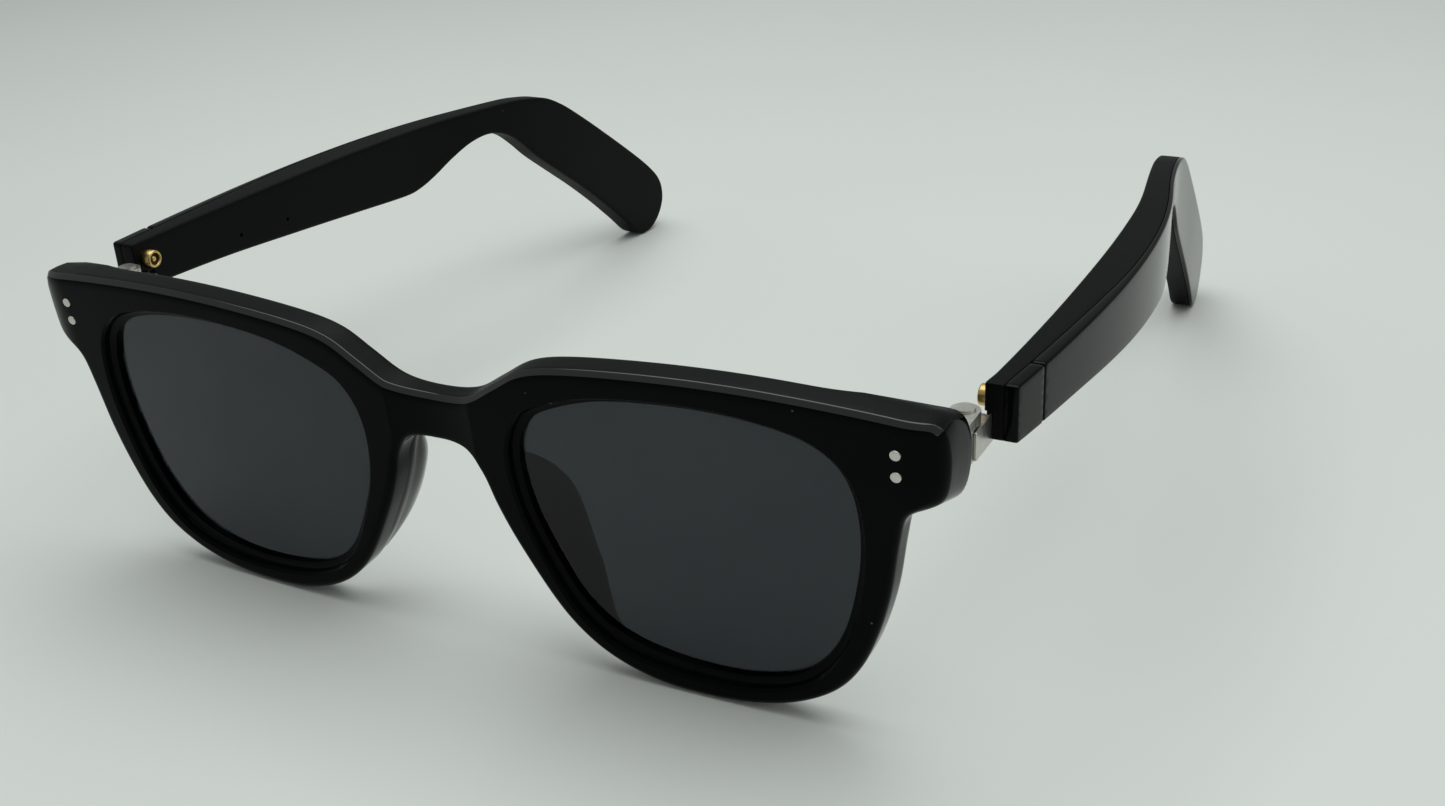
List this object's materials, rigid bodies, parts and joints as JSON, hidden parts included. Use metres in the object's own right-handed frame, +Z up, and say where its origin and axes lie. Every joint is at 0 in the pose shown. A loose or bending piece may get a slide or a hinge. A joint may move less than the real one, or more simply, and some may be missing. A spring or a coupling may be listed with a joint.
{
  "type": "smart glasses",
  "caption": "Audio smart glasses with a glossy black acetate-style front, dark grey lenses and folding temples that hold the electronics and a charging contact.",
  "frame": {"origin": "on the table plane, under the middle of the object's bounding box, with both temples open", "axes": "+X towards the wearer's left, -Y the way the lenses face, so the temples run back along +Y, +Z up; the glasses stand on the rims' lower edges and the temple tips"},
  "size_m": [0.1546, 0.1688, 0.0484],
  "materials": {
    "frame_black": "polished black acetate",
    "pad_black": "polished black acetate",
    "lens_grey": "dark grey tint, hard coated",
    "rivet_steel": "satin",
    "hinge_steel": "satin nickel",
    "temple_satin": "fine satin black",
    "cover_gloss": "polished black",
    "contact_gold": "gold plated, polished",
    "insulator": "moulded",
    "board": "solder mask",
    "cell_foil": "pouch foil",
    "speaker_case": "moulded",
    "mesh_steel": "woven mesh",
    "mic_can": "plated can",
    "flex_film": "polyimide film"
  },
  "bodies": {
    "front": {"front_frame": "frame_black", "lens_left": "lens_grey", "lens_right": "lens_grey", "nose_pad_left": "pad_black", "nose_pad_right": "pad_black", "end_piece_rivets": "rivet_steel", "hinge_front_leaf_left": "hinge_steel", "hinge_front_leaf_right": "hinge_steel", "hinge_pin_left": "hinge_steel", "hinge_pin_right": "hinge_steel"},
    "temple_left": {"hinge_temple_leaf_left": "hinge_steel", "temple_shell_left": "temple_satin", "temple_cover_left": "cover_gloss", "hinge_cap_left": "cover_gloss", "charge_ring_left": "contact_gold", "charge_insulator_left": "insulator", "charge_pin_left": "contact_gold", "main_board_left": "board", "battery_left": "cell_foil", "speaker_left": "speaker_case", "speaker_mesh_left": "mesh_steel", "microphones_left": "mic_can", "touch_sensor_left": "flex_film", "flex_cable_left": "flex_film"},
    "temple_right": {"hinge_temple_leaf_right": "hinge_steel", "temple_shell_right": "temple_satin", "temple_cover_right": "cover_gloss", "hinge_cap_right": "cover_gloss", "charge_ring_right": "contact_gold", "charge_insulator_right": "insulator", "charge_pin_right": "contact_gold", "main_board_right": "board", "battery_right": "cell_foil", "speaker_right": "speaker_case", "speaker_mesh_right": "mesh_steel", "microphones_right": "mic_can", "touch_sensor_right": "flex_film", "flex_cable_right": "flex_film"}
  },
  "joints": [
    {"name": "fold_left", "type": "hinge", "parent": "front", "child": "temple_left", "pos_m": [0.069, -0.06785, 0.0396], "axis": [0, 0, 1], "range_deg": [0, 90]},
    {"name": "fold_right", "type": "hinge", "parent": "front", "child": "temple_right", "pos_m": [-0.069, -0.06785, 0.0396], "axis": [0, 0, -1], "range_deg": [0, 82]}
  ]
}
